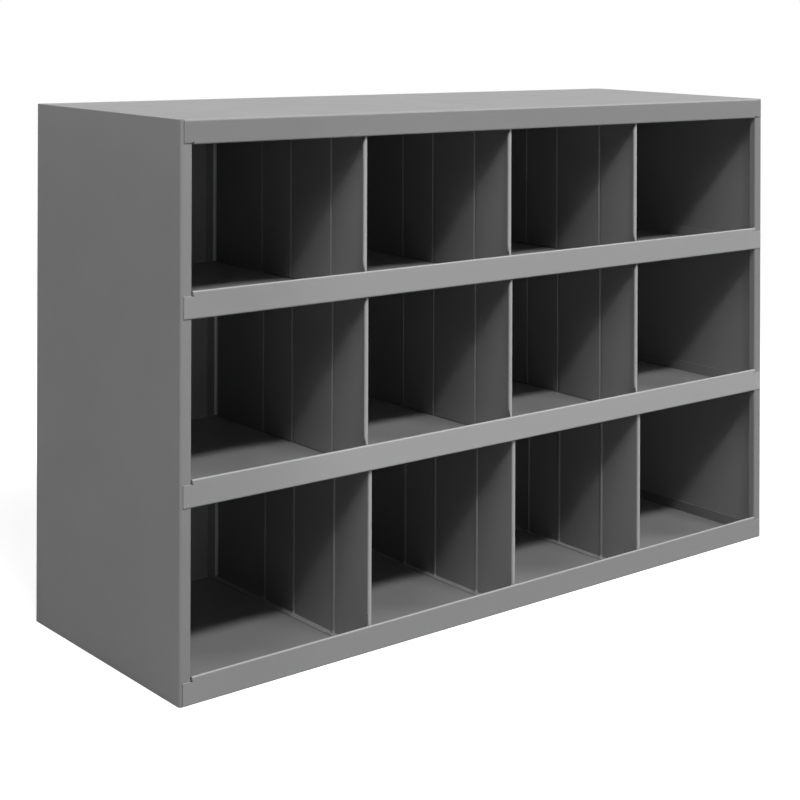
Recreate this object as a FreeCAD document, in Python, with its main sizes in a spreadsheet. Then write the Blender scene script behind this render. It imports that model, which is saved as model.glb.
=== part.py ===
import FreeCAD, Part
import math
import os
import Sketcher

# Pigeonhole bin unit: a welded sheet-steel case with three rows of four open bins.
# X runs to the right along the front, Y runs from the front to the back, and Z is up.
# The origin is the middle of the footprint, on the surface that the unit stands on.

# Driving lengths, in millimetres
LENGTHS = {
    "width": 857.25,  # outside, across the front
    "depth": 304.8,  # outside, front to back
    "height": 565.15,  # outside, floor to top
    "casing_gauge": 1.2,  # sheet of the sides, the top, the shelves and the bottom
    "back_gauge": 0.9,  # sheet of the back
    "divider_gauge": 0.9,  # sheet of the dividers
    "inner_bend": 0.6,  # inside radius of an ordinary bend
    "side_bend": 3.0,  # outside radius of the sides' front and rear corners
    "front_flange": 12.7,  # a side's front face, seen beside the bins
    "return_depth": 9.0,  # the stiffener turned back from that face
    "rear_flange": 12.7,  # the flanges that carry the back
    "lip_height": 27.3,  # upstand in front of a shelf and of the bottom
    "top_lip_height": 24.1,  # the top's lip, which hangs down
    "bottom_opening": 162.8,  # clear height of the bottom row's mouths
    "middle_opening": 154.7,  # clear height of the middle row's mouths
    "hem_width": 3.4,  # front to back over the rolled edge of a lip
    "hem_radius": 1.6,  # outside radius of that rolled edge
    "hem_drop": 8.0,  # height of the rolled edge's inner leaf
    "top_bend": 2.0,  # outside radius between the top and its lip
    "tab_inset": 3.2,  # from a side's outer face to the end of a lip's tab
    "tab_drop": 4.5,  # how far a lip's tab stays below the rolled edge
    "top_tab_rise": 1.7,  # how far the top's tab stays above its rolled edge
    "relief_radius": 0.9,  # round relief at the inner corner of a tab
    "corner_relief": 5.0,  # notch in the top's front corners
    "pan_flange": 14.3,  # side flanges of the top, the shelves and the bottom
    "shelf_rear_drop": 12.7,  # rear flange of a shelf, turned down
    "seam_gap": 0.6,  # clearance between sheets that pass each other
    "column_pitch": 202.3,  # from divider to divider
    "top_row_shift": -2.9,  # the top row's dividers, from the middle
    "middle_row_shift": -0.8,  # the middle row's dividers, from the middle
    "bottom_row_shift": 4.3,  # the bottom row's dividers, from the middle
    "nose_width": 4.4,  # across the rolled front edge of a divider
    "nose_radius": 2.1,  # outside radius of that rolled edge
    "nose_return": 4.2,  # depth of the rolled edge
    "end_narrowing": 1.3,  # how much narrower the rolled edge gets towards its ends
    "end_run": 9.0,  # height over which it gets narrower inside the mouth
    "slot_depth": 1.4,  # front to back across the slot behind that edge, above a left foot
    "slot_rise": 10.0,  # how far that slot runs up into the mouth
    "bead_radius": 3.2,  # outside radius of a stiffening bead
    "bead_height": 1.2,  # how far a bead stands out of the divider
    "nub_radius": 2.6,  # where a bead runs out on the divider's foot
    "foot_width": 9.0,  # flanges at the foot and the head of a divider
    "foot_setback": 8.8,  # from the rolled edge back to those flanges
    "foot_slot_length": 11.0,  # slot in the foot beside each bead
    "foot_slot_width": 0.9,  # across that slot
    "foot_slot_margin": 1.0,  # from that slot to the foot's free edge
    "corner_bend": 3.0,  # inside radius between a divider and its back flange
    "divider_back_flange": 12.7,  # flange of a divider against the back
    "overrun": 5.0,  # how far a cut runs past what it cuts
}

# Places of the three beads, as shares of the depth, from the front
BEAD_SHARES = {
    "front_bead_share": 0.2215,
    "middle_bead_share": 0.471,
    "rear_bead_share": 0.66,
}

COLUMNS = {"left": -1, "centre": 0, "right": 1}


class Size:
    """A length with its value and the formula that it comes from."""

    def __init__(self, value, formula):
        self.value = value
        self.formula = formula

    def __add__(self, other):
        return Size(self.value + other.value, f"({self.formula} + {other.formula})")

    def __sub__(self, other):
        return Size(self.value - other.value, f"({self.formula} - {other.formula})")

    def __mul__(self, other):
        if isinstance(other, Size):
            return Size(self.value * other.value, f"({self.formula} * {other.formula})")
        return Size(self.value * other, f"({self.formula} * {other})")

    def __truediv__(self, number):
        return Size(self.value / number, f"({self.formula} / {number})")

    def __neg__(self):
        return Size(-self.value, f"(0 - {self.formula})")


def third_side(longest, known):
    """The remaining side of a right-angled triangle."""
    value = math.sqrt(longest.value**2 - known.value**2)
    return Size(value, f"sqrt({(longest * longest - known * known).formula})")


def driving_sizes(document):
    """Fills the sheet of driving sizes and returns each one under its name."""
    sheet = document.addObject("Spreadsheet::Sheet", "sizes")
    found = {}
    for row, (name, number) in enumerate({**LENGTHS, **BEAD_SHARES}.items(), start=1):
        sheet.set(f"A{row}", name)
        sheet.set(f"B{row}", str(number))
        sheet.setAlias(f"B{row}", name)
        found[name] = Size(number, f"sizes.{name}")
    document.recompute()
    return found


document = FreeCAD.newDocument("bin_unit")
size = driving_sizes(document)
ZERO = Size(0.0, "0")

# Planes and places that several pieces share
gauge = size["casing_gauge"]
gap = size["seam_gap"]
overrun = size["overrun"]
half_width = size["width"] / 2
front = -size["depth"] / 2
rear = size["depth"] / 2
web_inside = half_width - gauge
pan_bend = gauge + size["inner_bend"]
floor_edge = web_inside - pan_bend
flange_root = floor_edge - pan_bend
tab_end = half_width - size["tab_inset"]
mouth_edge = half_width - size["front_flange"] - gap
lip_back = front + gauge
hem_back = front + size["hem_width"]
hem_inside = size["hem_radius"] - gauge
notch_rear = lip_back + size["return_depth"] + gap
pan_flange_rear = rear - size["side_bend"] - gap
wall = rear - gauge - size["back_gauge"]
lower_level = size["lip_height"] + size["bottom_opening"]
upper_level = lower_level + size["lip_height"] + size["middle_opening"]


def turned(corner, towards, radius):
    """The point where a rounded corner's arc meets its straight side."""
    across = towards[0].value - corner[0].value
    along = towards[1].value - corner[1].value
    if abs(across) > abs(along):
        return corner[0] + radius * int(math.copysign(1, across)), corner[1]
    return corner[0], corner[1] + radius * int(math.copysign(1, along))


def fix_point(sketch, element, end, place):
    """Holds one end of a sketch element at a place, measured from the origin."""
    for kind, length in zip(("DistanceX", "DistanceY"), place):
        number = sketch.addConstraint(Sketcher.Constraint(kind, -1, 1, element, end, length.value))
        sketch.setExpression(f"Constraints[{number}]", length.formula)


def fix_radius(sketch, element, radius):
    """Gives an arc or a circle its radius."""
    number = sketch.addConstraint(Sketcher.Constraint("Radius", element, radius.value))
    sketch.setExpression(f"Constraints[{number}]", radius.formula)


def vector(place):
    """A place in the sketch's plane."""
    return FreeCAD.Vector(place[0].value, place[1].value, 0)


def arc_between(centre, radius, first, last):
    """The arc that runs anticlockwise from one point to another."""
    angles = []
    for point in (first, last):
        offset = vector(point) - vector(centre)
        angles.append(math.atan2(offset.y, offset.x))
    circle = Part.Circle(vector(centre), FreeCAD.Vector(0, 0, 1), radius.value)
    return Part.ArcOfCircle(circle, angles[0], angles[1])


def outline(sketch, corners):
    """Draws a closed outline. A corner is (x, y), or (x, y, radius) for a rounded right angle."""
    joints = []
    for index, corner in enumerate(corners):
        if len(corner) == 2:
            joints.append((corner, corner))
            continue
        before = corners[index - 1]
        after = corners[(index + 1) % len(corners)]
        joints.append((turned(corner, before, corner[2]), turned(corner, after, corner[2])))
    lines = []
    for index, (arrives, leaves) in enumerate(joints):
        target = joints[(index + 1) % len(joints)][0]
        line = sketch.addGeometry(Part.LineSegment(vector(leaves), vector(target)), False)
        fix_point(sketch, line, 1, leaves)
        lines.append(line)
    for index, (arrives, leaves) in enumerate(joints):
        line_in = lines[index - 1]
        line_out = lines[index]
        corner = corners[index]
        if len(corner) == 2:
            sketch.addConstraint(Sketcher.Constraint("Coincident", line_in, 2, line_out, 1))
            continue
        centre = (arrives[0] + leaves[0] - corner[0], arrives[1] + leaves[1] - corner[1])
        inward = vector(corner) - vector(arrives)
        outward = vector(leaves) - vector(corner)
        turns_left = inward.cross(outward).z > 0
        first, last = (arrives, leaves) if turns_left else (leaves, arrives)
        arc = sketch.addGeometry(arc_between(centre, corner[2], first, last), False)
        end_in, end_out = (1, 2) if turns_left else (2, 1)
        sketch.addConstraint(Sketcher.Constraint("Coincident", line_in, 2, arc, end_in))
        sketch.addConstraint(Sketcher.Constraint("Coincident", arc, end_out, line_out, 1))
        fix_point(sketch, line_in, 2, arrives)
        fix_radius(sketch, arc, corner[2])


def rectangle(low_x, low_y, high_x, high_y):
    """The corners of a rectangle."""
    return [(low_x, low_y), (high_x, low_y), (high_x, high_y), (low_x, high_y)]


def mirrored(corners):
    """The same outline on the other side of the middle."""
    return [(-corner[0], *corner[1:]) for corner in corners]


def both_sides(corners):
    """An outline and its mirror image."""
    return [corners, mirrored(corners)]


def new_body(label):
    """A sheet-metal piece; its label names its file."""
    body = document.addObject("PartDesign::Body", label)
    body.Label = label
    return body


def new_sketch(body, plane, offset):
    """A sketch on one of the piece's own planes, moved along that plane's normal."""
    sketch = body.newObject("Sketcher::SketchObject", body.Label + "_sketch")
    support = [item for item in body.Origin.OriginFeatures if item.Role == plane][0]
    sketch.AttachmentSupport = [(support, "")]
    sketch.MapMode = "FlatFace"
    sketch.setExpression("AttachmentOffset.Base.z", offset.formula)
    return sketch


def extrusion(body, kind, plane, low, high, draw, shapes):
    """Adds or removes what some shapes sweep out between two places along the plane's axis."""
    adds = kind == "Pad"
    against_axis = plane == "XZ_Plane"
    if against_axis:
        start = -high if adds else -low
    else:
        start = low if adds else high
    sketch = new_sketch(body, plane, start)
    for shape in shapes:
        draw(sketch, shape)
    feature = body.newObject("PartDesign::" + kind, body.Label + "_" + kind.lower())
    feature.Profile = sketch
    feature.setExpression("Length", (high - low).formula)
    return feature


def pad(body, plane, low, high, outlines):
    """Sheet metal with these outlines."""
    return extrusion(body, "Pad", plane, low, high, outline, outlines)


def cut(body, plane, low, high, outlines):
    """A cut with these outlines."""
    return extrusion(body, "Pocket", plane, low, high, outline, outlines)


def side_panel(label, side):
    """A side: web, front flange with a return turned back, and rear flange."""
    body = new_body(label)
    outer = half_width * side
    inner = web_inside * side
    flange_end = (half_width - size["front_flange"]) * side
    return_face = (half_width - size["front_flange"] + gauge) * side
    rear_end = (half_width - size["rear_flange"]) * side
    face = lip_back + gauge
    return_end = lip_back + size["return_depth"]
    wide_inside = size["side_bend"] - gauge
    profile = [
        (outer, lip_back, size["side_bend"]),
        (outer, rear, size["side_bend"]),
        (rear_end, rear),
        (rear_end, rear - gauge),
        (inner, rear - gauge, wide_inside),
        (inner, face, wide_inside),
        (return_face, face, size["inner_bend"]),
        (return_face, return_end),
        (flange_end, return_end),
        (flange_end, lip_back, pan_bend),
    ]
    pad(body, "XY_Plane", ZERO, size["height"], [profile])
    # The flange and its return stop below the sheet of the top
    trim_start = (half_width - size["corner_relief"] + gap) * side
    trim_end = (half_width - size["front_flange"] - overrun) * side
    trim_level = size["height"] - size["top_bend"] - gap
    trim = rectangle(trim_start, front, trim_end, notch_rear)
    cut(body, "XY_Plane", trim_level, size["height"] + overrun, [trim])
    return body


def relief(sketch, place):
    """A round relief."""
    circle = sketch.addGeometry(
        Part.Circle(vector(place), FreeCAD.Vector(0, 0, 1), size["relief_radius"].value), False
    )
    fix_point(sketch, circle, 3, place)
    fix_radius(sketch, circle, size["relief_radius"])


def lip_ends(body, low, high, tab_low, tab_high, relief_level):
    """Fits both ends of a lip to the sides: a single tab, lower than the rolled edge."""
    beyond = half_width + overrun
    removed = rectangle(mouth_edge, tab_low, beyond, tab_high)
    cut(body, "XZ_Plane", front - overrun, hem_back + overrun, both_sides(removed))
    removed = rectangle(tab_end, front - overrun, beyond, notch_rear)
    cut(body, "XY_Plane", low, high, both_sides(removed))
    places = [(mouth_edge, relief_level), (-mouth_edge, relief_level)]
    extrusion(body, "Pocket", "XZ_Plane", front - overrun, lip_back, relief, places)


def upright_pan(label, level, rear_corners):
    """A shelf or the bottom: a floor with a front lip, side flanges and a rear flange."""
    body = new_body(label)
    lip_top = size["lip_height"]
    leaf_end = lip_top - size["hem_drop"]
    profile = [
        (front, ZERO, pan_bend),
        *rear_corners,
        (lip_back, gauge, size["inner_bend"]),
        (lip_back, lip_top - gauge, hem_inside),
        (hem_back - gauge, lip_top - gauge, hem_inside),
        (hem_back - gauge, leaf_end),
        (hem_back, leaf_end),
        (hem_back, lip_top, size["hem_radius"]),
        (front, lip_top, size["hem_radius"]),
    ]
    pad(body, "YZ_Plane", -floor_edge, floor_edge, [profile])
    # Room for the sides' front flanges and their returns
    notch = rectangle(mouth_edge, lip_back, half_width, notch_rear)
    cut(body, "XY_Plane", -overrun, lip_top + overrun, both_sides(notch))
    tab_top = lip_top - size["tab_drop"]
    lip_ends(body, -overrun, lip_top + overrun, tab_top, lip_top + overrun, tab_top)
    flange = [
        (flange_root, ZERO),
        (web_inside, ZERO, pan_bend),
        (web_inside, size["pan_flange"]),
        (web_inside - gauge, size["pan_flange"]),
        (web_inside - gauge, gauge, size["inner_bend"]),
        (flange_root, gauge),
    ]
    pad(body, "XZ_Plane", notch_rear, pan_flange_rear, both_sides(flange))
    body.setExpression("Placement.Base.z", level.formula)
    return body


def shelf(label, level):
    """A shelf, whose rear flange is turned down against the back."""
    flange_end = gauge - size["shelf_rear_drop"]
    rear_corners = [
        (wall - gauge, ZERO, size["inner_bend"]),
        (wall - gauge, flange_end),
        (wall, flange_end),
        (wall, gauge, pan_bend),
    ]
    return upright_pan(label, level, rear_corners)


def rear_notches(body, low, high):
    """Rear corners cut back from the sides' rear flanges."""
    edge = half_width - size["rear_flange"] - gap
    notch = rectangle(edge, rear - size["side_bend"], half_width, rear + overrun)
    return cut(body, "XY_Plane", low, high, both_sides(notch))


def bottom_pan():
    """The bottom, whose rear flange is turned up behind the back."""
    rear_corners = [
        (rear, ZERO, pan_bend),
        (rear, size["rear_flange"]),
        (rear - gauge, size["rear_flange"]),
        (rear - gauge, gauge, size["inner_bend"]),
    ]
    body = upright_pan("bottom_pan", ZERO, rear_corners)
    rear_notches(body, -overrun, size["rear_flange"] + overrun)
    return body


def top_panel():
    """The top: a sheet with a hanging front lip, side flanges and a rear flange."""
    body = new_body("top_panel")
    lip_end = -size["top_lip_height"]
    leaf_end = lip_end + size["hem_drop"]
    profile = [
        (front, lip_end, size["hem_radius"]),
        (hem_back, lip_end, size["hem_radius"]),
        (hem_back, leaf_end),
        (hem_back - gauge, leaf_end),
        (hem_back - gauge, lip_end + gauge, hem_inside),
        (lip_back, lip_end + gauge, hem_inside),
        (lip_back, -gauge, size["top_bend"] - gauge),
        (rear - gauge, -gauge, size["inner_bend"]),
        (rear - gauge, -size["rear_flange"]),
        (rear, -size["rear_flange"]),
        (rear, ZERO, pan_bend),
        (front, ZERO, size["top_bend"]),
    ]
    pad(body, "YZ_Plane", -floor_edge, floor_edge, [profile])
    # Room for the sides' front flanges, which end just below the sheet
    notch = rectangle(mouth_edge, lip_back, half_width, notch_rear)
    cut(body, "XY_Plane", lip_end - overrun, -size["top_bend"], both_sides(notch))
    corner = rectangle(half_width - size["corner_relief"], lip_back, half_width, notch_rear)
    cut(body, "XY_Plane", -size["top_bend"] - overrun, overrun, both_sides(corner))
    tab_low = lip_end + size["top_tab_rise"]
    lip_ends(body, lip_end - overrun, overrun, lip_end - overrun, tab_low, tab_low)
    flange = [
        (flange_root, -gauge),
        (web_inside - gauge, -gauge, size["inner_bend"]),
        (web_inside - gauge, -size["pan_flange"]),
        (web_inside, -size["pan_flange"]),
        (web_inside, ZERO, pan_bend),
        (flange_root, ZERO),
    ]
    pad(body, "XZ_Plane", notch_rear, pan_flange_rear, both_sides(flange))
    rear_notches(body, -size["rear_flange"] - overrun, overrun)
    body.setExpression("Placement.Base.z", size["height"].formula)
    return body


def back_panel():
    """The back: a flat sheet inside the rear flanges of the case."""
    body = new_body("back_panel")
    half = half_width - size["side_bend"] - gap
    low = gauge + size["inner_bend"]
    high = size["height"] - gauge - size["inner_bend"]
    pad(body, "XZ_Plane", wall, rear - gauge, [rectangle(-half, low, half, high)])
    return body


def bead_rise(sketch, place):
    """The part of a bead's circle that stands out of the face on the turned side."""
    side, face, along = place
    radius = size["bead_radius"]
    reach = radius - size["bead_height"]
    centre = (face - reach * side, along)
    half_chord = third_side(radius, reach)
    start = (face, along - half_chord * side)
    end = (face, along + half_chord * side)
    arc = sketch.addGeometry(arc_between(centre, radius, start, end), False)
    chord = sketch.addGeometry(Part.LineSegment(vector(end), vector(start)), False)
    sketch.addConstraint(Sketcher.Constraint("Coincident", arc, 2, chord, 1))
    sketch.addConstraint(Sketcher.Constraint("Coincident", arc, 1, chord, 2))
    sketch.addConstraint(Sketcher.Constraint("Vertical", chord))
    fix_point(sketch, arc, 3, centre)
    fix_radius(sketch, arc, radius)
    number = sketch.addConstraint(Sketcher.Constraint("DistanceX", -1, 1, chord, 1, face.value))
    sketch.setExpression(f"Constraints[{number}]", face.formula)


def bead_groove(sketch, place):
    """The hollow side of a bead."""
    side, face, along = place
    centre = (face - (size["bead_radius"] - size["bead_height"]) * side, along)
    radius = size["bead_radius"] - size["divider_gauge"]
    circle = sketch.addGeometry(
        Part.Circle(vector(centre), FreeCAD.Vector(0, 0, 1), radius.value), False
    )
    fix_point(sketch, circle, 3, centre)
    fix_radius(sketch, circle, radius)


def divider_flanges(body, outer, tall, turned_side, start):
    """The web with its foot and head, turned to one side of its outer face."""

    def beside(distance):
        return outer + distance * turned_side

    sheet = size["divider_gauge"]
    bend = sheet + size["inner_bend"]
    channel = [
        (beside(ZERO), ZERO, bend),
        (beside(ZERO), tall, bend),
        (beside(size["foot_width"]), tall),
        (beside(size["foot_width"]), tall - sheet),
        (beside(sheet), tall - sheet, size["inner_bend"]),
        (beside(sheet), sheet, size["inner_bend"]),
        (beside(size["foot_width"]), sheet),
        (beside(size["foot_width"]), ZERO),
    ]
    end = wall - gauge - gap
    pad(body, "XZ_Plane", start, end, [channel])


def foot_details(body, left_face, right_face, beads):
    """Slots along the free edge of a left foot, and rounded run-outs of the beads on it."""
    sheet = size["divider_gauge"]
    margin = right_face - size["foot_width"] + size["foot_slot_margin"]
    half = size["foot_slot_length"] / 2
    slots = [
        rectangle(margin, along - half, margin + size["foot_slot_width"], along + half)
        for along in beads
    ]
    cut(body, "XY_Plane", -overrun, sheet + size["inner_bend"], slots)
    for along in beads:
        nub = body.newObject("PartDesign::AdditiveSphere", body.Label + "_nub")
        nub.Angle1 = 0
        nub.Angle3 = 180
        nub.Placement.Rotation = FreeCAD.Rotation(FreeCAD.Vector(0, 0, 1), 90)
        nub.setExpression("Radius", size["nub_radius"].formula)
        nub.setExpression("Placement.Base.x", left_face.formula)
        nub.setExpression("Placement.Base.y", along.formula)
        nub.setExpression("Placement.Base.z", sheet.formula)


def slanted_end(narrow, far, past, edge, run, beyond):
    """What is cut off one end of a rolled edge, so that it gets narrower towards the edge line."""
    return [
        (narrow, beyond),
        (narrow, edge),
        (far, edge + run),
        (past, edge + run),
        (past, beyond),
    ]


def divider(label, column, shift, level, ceiling, mouth_high, turned_side, below_shelf):
    """A divider: rolled front edge, three upright beads, foot, head and back flange.

    Its foot, its head and its beads stand out to the turned side, which is -1 for the left, and
    its front edge is rolled to the other side. The back flange turns left.
    """
    body = new_body(label)
    sheet = size["divider_gauge"]
    bend = sheet + size["inner_bend"]
    floor_top = level + gauge
    tall = ceiling - floor_top
    mouth_low = size["lip_height"] - gauge
    mouth_top = mouth_high - floor_top
    rolled_side = -turned_side
    nose = hem_back + gap
    roll_rear = nose + size["nose_return"]
    near = sheet * rolled_side
    far = size["nose_width"] * rolled_side
    far_inside = far - near
    roll_inside = size["nose_radius"] - sheet
    roll = [
        (ZERO, nose, size["nose_radius"]),
        (far, nose, size["nose_radius"]),
        (far, roll_rear),
        (far_inside, roll_rear),
        (far_inside, nose + sheet, roll_inside),
        (near, nose + sheet, roll_inside),
    ]
    left_face, right_face = near, ZERO
    if rolled_side > 0:
        roll.reverse()
        left_face, right_face = ZERO, near
    flange_end = right_face - size["divider_back_flange"]
    profile = [
        (right_face, wall, sheet + size["corner_bend"]),
        *roll,
        (left_face, wall - sheet, size["corner_bend"]),
        (flange_end, wall - sheet),
        (flange_end, wall),
    ]
    pad(body, "XY_Plane", bend, tall - bend, [profile])
    outer = left_face if turned_side > 0 else right_face
    divider_flanges(body, outer, tall, turned_side, roll_rear + size["foot_setback"])
    beads = [front + size["depth"] * size[name] for name in BEAD_SHARES]
    bead_face = right_face if turned_side > 0 else left_face
    places = [(turned_side, bead_face, along) for along in beads]
    extrusion(body, "Pad", "XY_Plane", bend, tall - bend, bead_rise, places)
    extrusion(body, "Pocket", "XY_Plane", bend, tall - bend, bead_groove, places)
    # The rolled edge gets narrower at both ends of the mouth
    narrow = far - size["end_narrowing"] * rolled_side
    past = far + overrun * rolled_side
    run = size["end_run"]
    low_end = slanted_end(narrow, far, past, mouth_low, run, -overrun)
    high_end = slanted_end(narrow, far, past, mouth_top, -run, tall + overrun)
    clip_end = roll_rear + size["foot_setback"] / 2
    cut(body, "XZ_Plane", nose - overrun, clip_end, [low_end, high_end])
    if below_shelf:
        # Room for the rear flange of the shelf above
        start = wall - gauge - gap
        flange_low = tall + gauge - size["shelf_rear_drop"] - gap
        room = rectangle(start, flange_low, wall + overrun, tall + overrun)
        reach = size["divider_back_flange"] + overrun
        cut(body, "YZ_Plane", -reach, reach, [room])
    if turned_side < 0:
        slot_front = nose + size["nose_radius"]
        slot_top = mouth_low + size["slot_rise"]
        slot = rectangle(slot_front, -overrun, slot_front + size["slot_depth"], slot_top)
        cut(body, "YZ_Plane", left_face - overrun, right_face, [slot])
        foot_details(body, left_face, right_face, beads)
    place = size["column_pitch"] * COLUMNS[column] + shift - far / 2
    body.setExpression("Placement.Base.x", place.formula)
    body.setExpression("Placement.Base.z", floor_top.formula)
    return body


def row_of_dividers(row, *values):
    """One divider between each two neighbouring bins of a row."""
    return [divider(f"divider_{row}_{column}", column, *values) for column in COLUMNS]


def build_unit():
    """Every piece of the unit."""
    top_sheet = size["height"] - gauge
    top_mouth = size["height"] - size["top_lip_height"]
    top = size["top_row_shift"]
    middle = size["middle_row_shift"]
    bottom = size["bottom_row_shift"]
    pieces = [
        side_panel("left_side", -1),
        side_panel("right_side", 1),
        back_panel(),
        top_panel(),
        shelf("upper_shelf", upper_level),
        shelf("lower_shelf", lower_level),
        bottom_pan(),
    ]
    # The bottom row's dividers are turned the other way
    pieces += row_of_dividers("top", top, upper_level, top_sheet, top_mouth, 1, False)
    pieces += row_of_dividers("middle", middle, lower_level, upper_level, upper_level, 1, True)
    pieces += row_of_dividers("bottom", bottom, ZERO, lower_level, lower_level, -1, True)
    return pieces


def check_pieces(pieces):
    """Stops if anything in the document failed or a piece isn't one sound solid."""
    for item in document.Objects:
        if "Invalid" in item.State or "Error" in item.State:
            raise RuntimeError(f"{item.Label} failed: {item.State}")
    for piece in pieces:
        shape = piece.Shape
        if shape.isNull() or not shape.isValid() or len(shape.Solids) != 1:
            raise RuntimeError(f"{piece.Label} isn't one sound solid")


pieces = build_unit()
document.recompute()
check_pieces(pieces)
os.makedirs("parts", exist_ok=True)
for piece in pieces:
    piece.Shape.exportStep(f"parts/{piece.Label}.step")
    box = piece.Shape.BoundBox
    print(
        f"{piece.Label}: x {box.XMin:.2f} to {box.XMax:.2f}, y {box.YMin:.2f} to {box.YMax:.2f},"
        f" z {box.ZMin:.2f} to {box.ZMax:.2f}, {piece.Shape.Volume / 1000:.1f} cm3"
    )
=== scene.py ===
# %% [markdown]
# # A pigeonhole bin unit in powder-coated steel
# The real thing is a case of thin folded sheet: two sides, a top, a bottom, a back, two shelves and
# nine upright dividers, spot-welded flange to flange and then sprayed with one grey powder coat.
# The folded sheets come from the CAD model, so this lesson is about what the coat, the light and
# the lens do with them. The first cell loads the sheets. They all ride on one body, because nothing
# on the unit moves. Lengths are in metres. X runs to the right along the front, Y runs to the back,
# and Z is up.

import math

import bpy
from mathutils import Matrix, Vector


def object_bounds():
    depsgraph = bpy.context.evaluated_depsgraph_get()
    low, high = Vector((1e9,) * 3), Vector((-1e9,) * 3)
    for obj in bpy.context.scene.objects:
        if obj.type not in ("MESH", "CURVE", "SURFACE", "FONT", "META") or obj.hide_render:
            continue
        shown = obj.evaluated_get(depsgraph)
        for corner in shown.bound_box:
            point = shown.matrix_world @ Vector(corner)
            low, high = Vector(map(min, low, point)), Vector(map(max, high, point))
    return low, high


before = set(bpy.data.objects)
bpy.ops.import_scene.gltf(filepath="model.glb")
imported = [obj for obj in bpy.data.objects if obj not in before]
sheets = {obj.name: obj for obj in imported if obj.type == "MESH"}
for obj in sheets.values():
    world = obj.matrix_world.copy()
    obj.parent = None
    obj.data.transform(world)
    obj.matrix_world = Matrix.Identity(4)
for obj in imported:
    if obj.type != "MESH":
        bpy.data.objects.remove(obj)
cad_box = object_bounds()
print("pieces:", len(sheets), sorted(sheets))
print("box of the unit:", [[round(value, 4) for value in corner] for corner in cad_box])

# %% [markdown]
# ## Helpers for node trees
# A node group is a small machine with named inputs and outputs that several materials can share.
# Writing its sockets by hand takes many lines, so one helper opens a group with its sockets, one
# joins the results to its outputs, and one adds a node, sets its values and joins its inputs.


# %% Open groups and add nodes
def open_group(name, inputs, outputs):
    """An empty shader node group, the sockets given to it and the sockets for its results.

    The inputs are values with their defaults. A result called Normal is a vector, and the others
    are values.
    """
    group = bpy.data.node_groups.new(name, "ShaderNodeTree")
    for socket, default in inputs.items():
        item = group.interface.new_socket(socket, in_out="INPUT", socket_type="NodeSocketFloat")
        item.default_value = default
    for socket in outputs:
        kind = "NodeSocketVector" if socket == "Normal" else "NodeSocketFloat"
        group.interface.new_socket(socket, in_out="OUTPUT", socket_type=kind)
    return group, group.nodes.new("NodeGroupInput").outputs, group.nodes.new("NodeGroupOutput").inputs


def give_results(group, results, values):
    """Joins what a group has worked out to its outputs."""
    for name, socket in values.items():
        group.links.new(socket, results[name])


def add_node(tree, kind, settings=None, **inputs):
    """A node with its settings made and its inputs set to values or joined to sockets.

    An input goes by its name, with underscores for the blanks, or by its number after one underscore.
    """
    node = tree.nodes.new(kind)
    for name, value in (settings or {}).items():
        setattr(node, name, value)
    for name, value in inputs.items():
        key = int(name[1:]) if name[1:].isdigit() else name.replace("_", " ")
        socket = node.inputs[key]
        if isinstance(value, bpy.types.NodeSocket):
            tree.links.new(value, socket)
        else:
            socket.default_value = value
    return node


def use_group(tree, group, **inputs):
    """The results of a group that is used in a material."""
    return add_node(tree, "ShaderNodeGroup", {"node_tree": group}, **inputs).outputs


print("helpers:", open_group.__name__, give_results.__name__, add_node.__name__, use_group.__name__)

# %% [markdown]
# ## Sums, masks and noise
# Most masks come from three steps: take a value that differs over the surface, stretch the part of
# it that matters to the range from 0 to 1, and multiply it with another mask. Noise is laid out in
# object space. It needs no unwrapped mesh, and its scale is in real metres, so it has the same size
# on every sheet.


# %% Work out values
def calculate(tree, operation, first, second=0.0):
    """The result of one sum, with numbers or sockets."""
    return add_node(tree, "ShaderNodeMath", {"operation": operation}, _0=first, _1=second).outputs[0]


def remap(tree, value, low, high, new_low=0.0, new_high=1.0):
    """A value spread smoothly from one range to another, and kept inside it."""
    ranges = {"From_Min": low, "From_Max": high, "To_Min": new_low, "To_Max": new_high}
    settings = {"interpolation_type": "SMOOTHSTEP"}
    return add_node(tree, "ShaderNodeMapRange", settings, Value=value, **ranges).outputs["Result"]


def object_place(tree):
    """The place on the sheet, in the unit's own metres."""
    return add_node(tree, "ShaderNodeTexCoord").outputs["Object"]


def noise(tree, scale, detail, roughness=0.5):
    """Noise with so many swells to the metre and so many finer layers on them."""
    texture = {"Vector": object_place(tree), "Scale": scale, "Detail": detail, "Roughness": roughness}
    return add_node(tree, "ShaderNodeTexNoise", None, **texture).outputs["Fac"]


def split(tree, vector):
    """The X, Y and Z parts of a vector."""
    return add_node(tree, "ShaderNodeSeparateXYZ", None, Vector=vector).outputs


def mix_colour(tree, factor, first, second):
    """Two colours mixed by a mask."""
    return add_node(tree, "ShaderNodeMix", {"data_type": "RGBA"}, _0=factor, _6=first, _7=second).outputs[2]


print("values:", calculate.__name__, remap.__name__, noise.__name__, split.__name__, mix_colour.__name__)

# %% [markdown]
# ## Relief of a powder coat
# Powder melts in the oven and levels out, but not quite: it keeps a soft swell like orange peel,
# about two millimetres from crest to crest, with a much finer grain on it.


# %% Relief group
def build_coat_relief():
    defaults = {"Peel Scale": 520.0, "Grain Scale": 2600.0, "Grain Share": 0.25}
    group, given, results = open_group("coat_relief", defaults, ["Height"])
    peel = noise(group, given["Peel Scale"], detail=2.0, roughness=0.45)
    grain = noise(group, given["Grain Scale"], detail=1.0)
    share = calculate(group, "MULTIPLY", grain, given["Grain Share"])
    give_results(group, results, {"Height": calculate(group, "ADD", peel, share)})
    return group


coat_relief = build_coat_relief()
print("group:", coat_relief.name)

# %% [markdown]
# ## Uneven tone of the coat
# A sprayed coat is a little thicker in one place than in the next, so its tone drifts slowly over
# a sheet. Close up it also has a fine speckle. Both are weak, a few percent, and without them a
# large sheet looks like plastic film.


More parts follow.
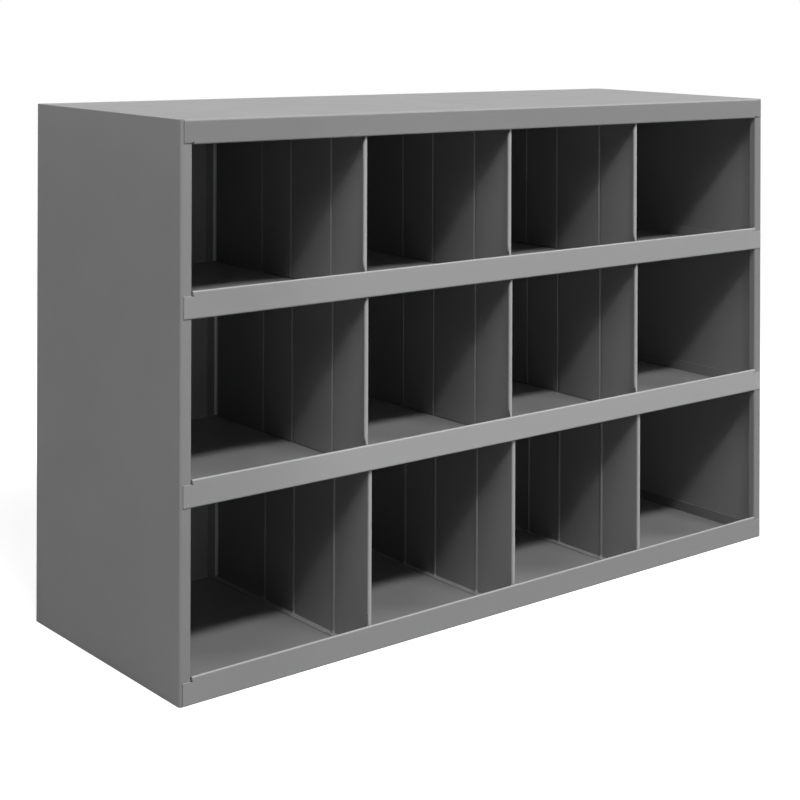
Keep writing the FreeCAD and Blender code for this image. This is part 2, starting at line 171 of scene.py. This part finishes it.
# %% Tone group
def build_coat_tone():
    defaults = {"Drift Scale": 4.0, "Speckle Scale": 1400.0}
    group, given, results = open_group("coat_tone", defaults, ["Drift", "Speckle"])
    drift = noise(group, given["Drift Scale"], detail=3.0, roughness=0.55)
    speckle = noise(group, given["Speckle Scale"], detail=0.0)
    give_results(group, results, {"Drift": drift, "Speckle": speckle})
    return group


coat_tone = build_coat_tone()
print("group:", coat_tone.name)

# %% [markdown]
# ## Worn edges
# Where sheet turns sharply, the coat is thin and gets rubbed first. The Bevel node gives the normal
# that a slightly rounded edge would have. Where it leaves the true normal, there is an edge. Noise
# breaks the line up, so that the wear comes and goes.


# %% Edge group
def build_worn_edge():
    defaults = {"Radius": 0.0007, "Patch Scale": 38.0}
    group, given, results = open_group("worn_edge", defaults, ["Mask", "Normal"])
    rounded = add_node(group, "ShaderNodeBevel", {"samples": 4}, Radius=given["Radius"]).outputs["Normal"]
    true_normal = add_node(group, "ShaderNodeNewGeometry").outputs["True Normal"]
    dot_product = {"operation": "DOT_PRODUCT"}
    agreement = add_node(group, "ShaderNodeVectorMath", dot_product, _0=rounded, _1=true_normal).outputs["Value"]
    edge = remap(group, agreement, 0.99, 0.82)
    broken = remap(group, noise(group, given["Patch Scale"], detail=5.0, roughness=0.65), 0.35, 0.7)
    give_results(group, results, {"Mask": calculate(group, "MULTIPLY", edge, broken), "Normal": rounded})
    return group


worn_edge = build_worn_edge()
print("group:", worn_edge.name)

# %% [markdown]
# ## Settled dust
# Dust lies on what faces up, thickest in places nobody wipes. A mask from the upward part of the
# normal, broken up by noise, lightens the coat a little and takes off some of its shine.


# %% Dust group
def build_settled_dust():
    group, given, results = open_group("settled_dust", {"Patch Scale": 22.0}, ["Mask"])
    normal = add_node(group, "ShaderNodeNewGeometry").outputs["Normal"]
    lying = remap(group, split(group, normal)["Z"], 0.6, 0.98)
    broken = remap(group, noise(group, given["Patch Scale"], detail=6.0, roughness=0.6), 0.3, 0.75)
    give_results(group, results, {"Mask": calculate(group, "MULTIPLY", lying, broken)})
    return group


settled_dust = build_settled_dust()
print("group:", settled_dust.name)

# %% [markdown]
# ## Painted light and shade on parts of the sheets
# Some parts of a folded sheet are painted lighter or darker than the rest, to stand in for highlights
# and shade. Five masks pick them out by where they are and which way they face:
# - Lip: faces in front of a plane just behind the front, fading in along the lip from the left; a painted
#   highlight
# - Rolled Edge: the upper side of the rolled edges there, a thin painted highlight line on each lip
# - Fold: hollow folds at the back, a painted highlight line; their normal lies between the back's and
#   the divider's, so the product of its X and Y parts is well above zero
# - Foot: flat faces behind the front that look straight up, which the dividers use for their feet; painted light
# - Side Flange: faces behind the front that look sideways, which the shelves and the bottom use; painted shade


# %% Painted light group
def build_painted_light_masks():
    defaults = {"Front Plane": -0.15, "Back Plane": 0.14, "Fade Start": -0.4, "Fade End": -0.2}
    names = ["Lip", "Rolled Edge", "Fold", "Foot", "Side Flange"]
    group, given, results = open_group("painted_light_masks", defaults, names)
    place = split(group, object_place(group))
    facing = split(group, add_node(group, "ShaderNodeNewGeometry").outputs["Normal"])
    in_front = calculate(group, "LESS_THAN", place["Y"], given["Front Plane"])
    behind_front = calculate(group, "SUBTRACT", 1.0, in_front)
    at_back = calculate(group, "GREATER_THAN", place["Y"], given["Back Plane"])
    between = calculate(group, "MULTIPLY", facing["X"], facing["Y"])
    sideways = calculate(group, "ABSOLUTE", facing["X"])
    # Painted light: highlights on the lips, rolled edges, back folds and feet, and painted shade on the side
    # flanges.
    pairs = {
        "Lip": (in_front, remap(group, place["X"], given["Fade Start"], given["Fade End"])),
        "Rolled Edge": (in_front, remap(group, facing["Z"], 0.35, 0.8)),
        "Fold": (at_back, remap(group, between, 0.03, 0.2)),
        "Foot": (behind_front, remap(group, facing["Z"], 0.8, 0.98)),
        "Side Flange": (behind_front, remap(group, sideways, 0.6, 0.95)),
    }
    give_results(group, results, {name: calculate(group, "MULTIPLY", *pair) for name, pair in pairs.items()})
    return group


painted_light_masks = build_painted_light_masks()
print("group:", painted_light_masks.name)

# %% [markdown]
# ## The grey coat
# One recipe dresses every sheet: a satin grey with no metal in it, because the powder hides the
# steel. The tone drifts, the painted light masks paint highlights and shade onto their places, worn
# edges are lighter, dust is lighter and rougher, and the relief bends the highlights. Plain values,
# such as the refraction, are set on the shader itself. Each kind of sheet gets its own copy of the
# coat, made lighter or darker as painted light and shade for how the lamps fall on it. A share is a
# tone as a part of another tone: the copy's against the coat's grey, and a mask's against the copy's.

# %% Coat recipe
COAT_GREY = 0.295
BLUE_SHARE = 1.01
DRIFT_SHARES = (0.94, 1.06)
DRIFT_RANGE = (0.3, 0.7)
SPECKLE_RANGE = (0.35, 0.75)
SPECKLE_STRENGTH = 0.35
# Painted highlights on the rolled edges and in the back folds.
COMMON_SHARES = {"Rolled Edge": 1.5, "Fold": 3.2}
WORN_GREY = (0.5, 0.5, 0.5, 1.0)
WEAR_STRENGTH = 0.35
DUST_GREY = (0.55, 0.54, 0.52, 1.0)
DUST_STRENGTH = 0.05
ROUGHNESS_RANGE = (0.38, 0.42)
DUST_ROUGHNESS = 0.06
REFRACTION = 1.5
RELIEF = {"Strength": 0.22, "Distance": 0.00012}
FRONT_PLANE = cad_box[0][1] + 0.0065
BACK_PLANE = cad_box[1][1] - 0.012


def grey(level):
    """The coat's hue at some level."""
    return (level, level, level * BLUE_SHARE, 1.0)


def build_coat(name, painted_light_share, mask_shares):
    """One copy of the coat, with its painted light and shade: its tone and the tones of what its masks pick out.
    """
    material = bpy.data.materials.new(name)
    material.use_nodes = True
    tree = material.node_tree
    shader = tree.nodes["Principled BSDF"]
    shader.inputs["Metallic"].default_value = 0.0
    shader.inputs["IOR"].default_value = REFRACTION
    tone = use_group(tree, coat_tone)
    edge = use_group(tree, worn_edge)
    dust = use_group(tree, settled_dust)["Mask"]
    height = use_group(tree, coat_relief)["Height"]
    masks = use_group(tree, painted_light_masks, Front_Plane=FRONT_PLANE, Back_Plane=BACK_PLANE)

    # The copy's share paints light or shade over the whole sheet.
    level = COAT_GREY * painted_light_share
    darkest, lightest = (grey(level * share) for share in DRIFT_SHARES)
    colour = mix_colour(tree, remap(tree, tone["Drift"], *DRIFT_RANGE), darkest, lightest)
    speckle = remap(tree, tone["Speckle"], *SPECKLE_RANGE, 0.0, SPECKLE_STRENGTH)
    colour = mix_colour(tree, speckle, colour, grey(level))
    # The masks paint highlights and shade onto their places.
    for mask, share in mask_shares.items():
        colour = mix_colour(tree, masks[mask], colour, grey(level * share))
    colour = mix_colour(tree, calculate(tree, "MULTIPLY", edge["Mask"], WEAR_STRENGTH), colour, WORN_GREY)
    colour = mix_colour(tree, calculate(tree, "MULTIPLY", dust, DUST_STRENGTH), colour, DUST_GREY)
    tree.links.new(colour, shader.inputs["Base Color"])

    satin = remap(tree, tone["Drift"], *DRIFT_RANGE, *ROUGHNESS_RANGE)
    dulled = calculate(tree, "ADD", satin, calculate(tree, "MULTIPLY", dust, DUST_ROUGHNESS))
    tree.links.new(dulled, shader.inputs["Roughness"])
    bump = add_node(tree, "ShaderNodeBump", None, **RELIEF, Height=height, Normal=edge["Normal"])
    tree.links.new(bump.outputs["Normal"], shader.inputs["Normal"])
    return material


print("coat grey:", grey(COAT_GREY))

# %% [markdown]
# ## Dress the sheets
# Every coat copy is listed with its sheets, its share, the share of its lips, and the shares of other
# masks where it uses any. Each share is painted light or shade. The dividers' front edges count as
# lips and get the strongest painted highlight.

# %% Coat copies with painted light and shade
DIVIDERS = sorted(name for name in sheets if name.startswith("divider"))
# Shares are painted light and shade: the sheet's tone, its lips' highlight and its other masks.
PAINTED_LIGHT_COATS = [
    ("coat_of_left_side", ["left_side"], 0.94, 1.0, {}),
    ("coat_of_right_side", ["right_side"], 0.9, 1.0, {}),
    ("coat_of_back", ["back_panel"], 1.15, 1.0, {}),
    ("coat_of_top", ["top_panel"], 0.81, 1.15, {}),
    ("coat_of_upper_shelf", ["upper_shelf"], 1.12, 1.18, {"Side Flange": 0.83}),
    ("coat_of_lower_shelf", ["lower_shelf"], 1.12, 1.33, {"Side Flange": 0.79}),
    ("coat_of_bottom", ["bottom_pan"], 1.1, 1.0, {"Side Flange": 0.62}),
    ("coat_of_dividers", DIVIDERS, 0.82, 1.95, {"Foot": 1.6}),
]

for coat_name, sheet_names, painted_light_share, lip_share, other_shares in PAINTED_LIGHT_COATS:
    coat = build_coat(coat_name, painted_light_share, {"Lip": lip_share, **COMMON_SHARES, **other_shares})
    for sheet_name in sheet_names:
        sheets[sheet_name].data.materials.clear()
        sheets[sheet_name].data.materials.append(coat)
    print("material:", coat.name, "on", len(sheet_names), "sheets")

# %% [markdown]
# ## Floor
# The unit stands on a plain white studio floor. Near the unit the floor is a real white surface
# that keeps the shadow, with a little light of its own, as a lit table has. Further out it turns
# into pure white light, so that no horizon shows. What the unit's own sheets get from it is the
# light of a duller floor, because a studio floor bounces less light than fresh white paper would.

# %% Floor
FLOOR_HALF_SIDE = 9.0
FLOOR_WHITE = (0.93, 0.93, 0.93, 1.0)
BOUNCED_GREY = (0.32, 0.32, 0.32, 1.0)
FLOOR_OWN_LIGHT = 0.75
FLOOR_ROUGHNESS = 0.9
FLOOR_SHINE = 0.1
FADE_RANGE = (0.9, 2.2)
WHITE = (1.0, 1.0, 1.0, 1.0)


def dress_floor(material):
    """White to the camera and in reflections, and a duller grey to the light that bounces."""
    material.use_nodes = True
    tree = material.node_tree
    path = add_node(tree, "ShaderNodeLightPath").outputs
    shader = tree.nodes["Principled BSDF"]
    shader.inputs["Roughness"].default_value = FLOOR_ROUGHNESS
    shader.inputs["Specular IOR Level"].default_value = FLOOR_SHINE
    shader.inputs["Emission Color"].default_value = WHITE
    own_light = calculate(tree, "MULTIPLY", path["Is Camera Ray"], FLOOR_OWN_LIGHT)
    tree.links.new(own_light, shader.inputs["Emission Strength"])
    seen = calculate(tree, "MAXIMUM", path["Is Camera Ray"], path["Is Glossy Ray"])
    tree.links.new(mix_colour(tree, seen, BOUNCED_GREY, FLOOR_WHITE), shader.inputs["Base Color"])
    pure_white = add_node(tree, "ShaderNodeEmission", None, Color=WHITE, Strength=1.0).outputs[0]
    distance = add_node(tree, "ShaderNodeVectorMath", {"operation": "LENGTH"}, _0=object_place(tree))
    far = remap(tree, distance.outputs["Value"], *FADE_RANGE)
    fade = calculate(tree, "MULTIPLY", far, path["Is Camera Ray"])
    surface = add_node(tree, "ShaderNodeMixShader", None, _0=fade, _1=shader.outputs[0], _2=pure_white)
    tree.links.new(surface.outputs[0], tree.nodes["Material Output"].inputs["Surface"])


def build_floor():
    mesh = bpy.data.meshes.new("studio_floor")
    corners = [(FLOOR_HALF_SIDE * x, FLOOR_HALF_SIDE * y, 0.0) for x, y in ((-1, -1), (1, -1), (1, 1), (-1, 1))]
    mesh.from_pydata(corners, [], [(0, 1, 2, 3)])
    floor = bpy.data.objects.new("studio_floor", mesh)
    bpy.context.scene.collection.objects.link(floor)
    material = bpy.data.materials.new("studio_floor_white")
    dress_floor(material)
    mesh.materials.append(material)
    return floor


floor = build_floor()
print("floor:", tuple(round(side, 2) for side in floor.dimensions))

# %% [markdown]
# ## Light
# The shadow of each shelf falls into the bins below it at about 48 degrees and has a fairly sharp
# lower edge. So the main light hangs at that height, almost straight in front, and is a wide, low
# strip: low keeps the level edge sharp, and wide keeps the dividers' shadows soft. The left panel
# lights the left side and the front parts of the dividers, the right panel lifts the fronts, and a
# small low panel reaches the backs and the floors in shadow. The rear panel only serves views from
# behind. The world adds a very weak fill, and a camera or a glossy ray sees it as white.

# %% Lights
AIM = Vector((0.0, 0.0, 0.28))
WORLD_FILL = 0.003
PANELS = [
    # name, azimuth and elevation in degrees, distance, width, height, watts
    ("main_panel", -6.5, 48.3, 5.0, 2.9, 0.35, 146.0),
    ("left_panel", -67.0, 29.0, 3.5, 1.3, 1.1, 29.0),
    ("right_panel", 55.0, 38.0, 3.5, 1.0, 1.0, 38.0),
    ("low_panel", -5.0, 14.0, 3.5, 0.5, 0.5, 2.1),
    ("rear_panel", 180.0, 6.0, 3.5, 1.6, 1.6, 24.0),
]


def add_panel(name, azimuth, elevation, distance, width, height, watts):
    """A soft panel that faces the unit. Azimuth 0 is in front, and -90 is on the left."""
    turn, rise = math.radians(azimuth), math.radians(elevation)
    away = Vector((math.sin(turn) * math.cos(rise), -math.cos(turn) * math.cos(rise), math.sin(rise)))
    light = bpy.data.lights.new(name, "AREA")
    light.shape = "RECTANGLE"
    light.size = width
    light.size_y = height
    light.energy = watts
    panel = bpy.data.objects.new(name, light)
    panel.location = AIM + away * distance
    panel.rotation_euler = away.to_track_quat("Z", "Y").to_euler()
    bpy.context.scene.collection.objects.link(panel)
    print("light:", name, [round(value, 2) for value in panel.location], watts, "W")


def build_world():
    world = bpy.data.worlds.new("white_studio")
    bpy.context.scene.world = world
    world.use_nodes = True
    tree = world.node_tree
    path = add_node(tree, "ShaderNodeLightPath").outputs
    seen = calculate(tree, "MAXIMUM", path["Is Camera Ray"], path["Is Glossy Ray"])
    seen = calculate(tree, "MAXIMUM", seen, path["Is Transmission Ray"])
    background = tree.nodes["Background"]
    background.inputs["Color"].default_value = WHITE
    tree.links.new(calculate(tree, "MAXIMUM", seen, WORLD_FILL), background.inputs["Strength"])
    return world


for panel in PANELS:
    add_panel(*panel)
world = build_world()
print("world:", world.name)

# %% [markdown]
# ## Camera
# The photo looks down at the unit and still keeps every upright edge upright. A view camera does
# that: its back stays vertical, while its lens looks down. A plain camera object can't, because its
# three axes always meet at right angles. A stand can carry it with axes that don't: right and
# upright lie in the vertical picture plane, and the third axis looks down at the unit, a little to
# the left of square. Angles are in radians. Tip and lean say that the picture isn't quite level and
# its edges aren't quite plumb.

# %% Camera
IMAGE_SIDE = 800
FOCAL_PIXELS = 1753.9
SENSOR_WIDTH = 36.0
STAND_PLACE = Vector((-1.2793, -1.5858, 0.6759))
YAW, TURN, PITCH = 0.7252, -0.0634, 0.2255
TIP, LEAN = 0.0151, -0.0029


def view_camera_axes():
    """The camera's right, upright and backward axes, as the columns of a matrix."""
    across = Vector((math.cos(YAW), -math.sin(YAW), 0.0))
    plumb = Vector((0.0, 0.0, 1.0))
    heading = YAW + TURN
    look = Vector((math.sin(heading) * math.cos(PITCH), math.cos(heading) * math.cos(PITCH), -math.sin(PITCH)))
    right = (across + plumb * TIP).normalized()
    upright = (plumb + across * LEAN).normalized()
    return Matrix((right, upright, -look)).transposed()


def add_camera():
    data = bpy.data.cameras.new("photo_camera")
    data.sensor_width = SENSOR_WIDTH
    data.lens = FOCAL_PIXELS / IMAGE_SIDE * SENSOR_WIDTH
    stand = bpy.data.objects.new("camera_stand", None)
    camera = bpy.data.objects.new("photo_camera", data)
    for item in (stand, camera):
        bpy.context.scene.collection.objects.link(item)
    camera.parent = stand
    camera.matrix_parent_inverse = Matrix.Translation(STAND_PLACE) @ view_camera_axes().to_4x4()
    bpy.context.scene.camera = camera
    print("camera:", round(data.lens, 1), "mm at", [round(value, 3) for value in STAND_PLACE])


add_camera()

# %% [markdown]
# ## Picture settings
# The plain Standard view keeps the greys as they are written.

# %% View
bpy.context.scene.view_settings.view_transform = "Standard"
